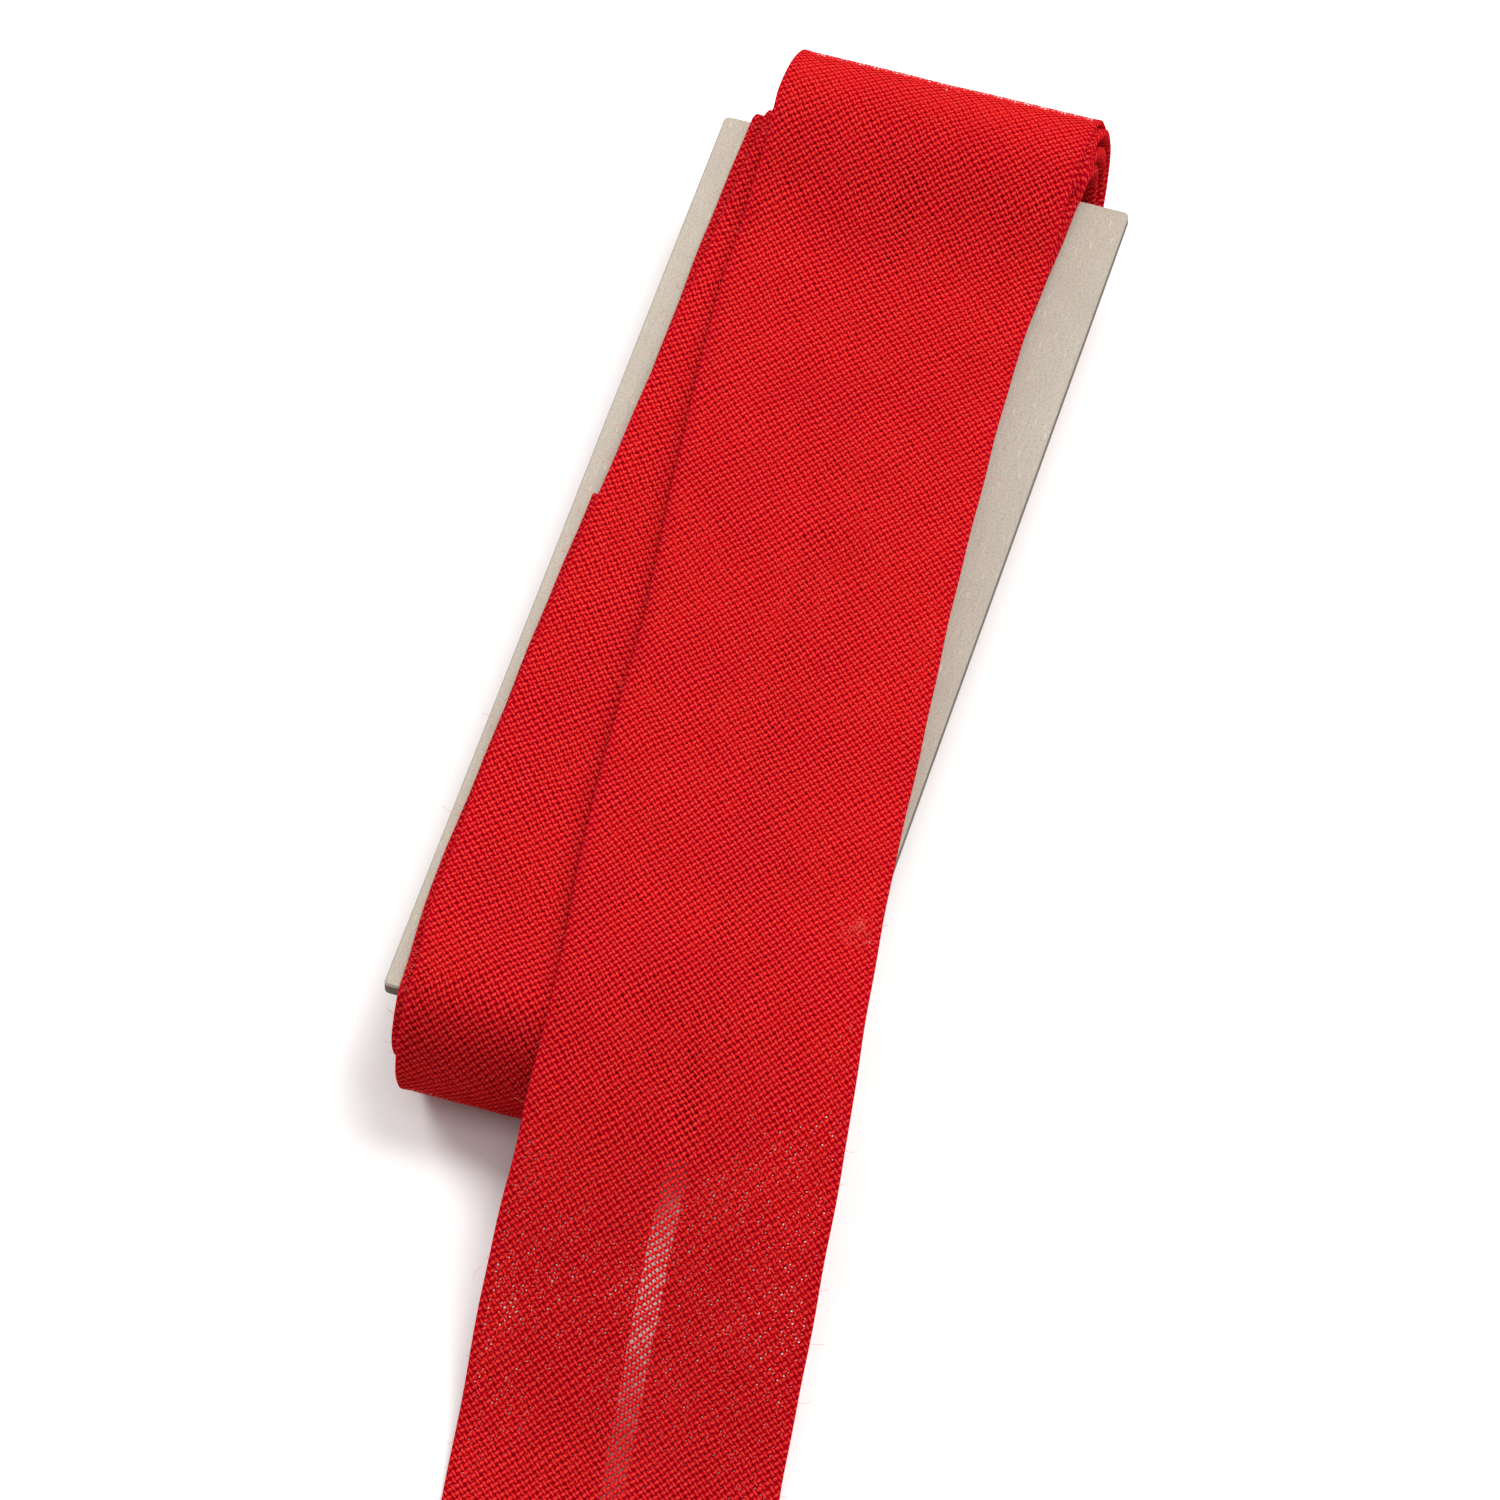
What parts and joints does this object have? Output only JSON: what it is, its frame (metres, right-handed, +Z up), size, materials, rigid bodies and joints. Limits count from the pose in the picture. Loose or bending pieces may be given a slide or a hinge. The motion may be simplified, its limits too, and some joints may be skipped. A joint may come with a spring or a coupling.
{
  "type": "roll of bias binding",
  "caption": "Red folded cotton bias binding wound lengthwise on a flat grey card, with its free end run out in front.",
  "frame": {"origin": "middle of the roll's base, on the surface it lies on", "axes": "+Y along the card's long side, away from the free end; +X across the card; +Z up"},
  "size_m": [0.0344, 0.1142, 0.0143],
  "materials": {
    "greyboard": "matt unprinted greyboard",
    "wound_tape": "matt open plain weave, on the bias",
    "loose_tape": "matt open plain weave, on the bias"
  },
  "bodies": {
    "root": {"card": "greyboard", "winding": "wound_tape", "loose_end": "loose_tape"}
  },
  "joints": []
}
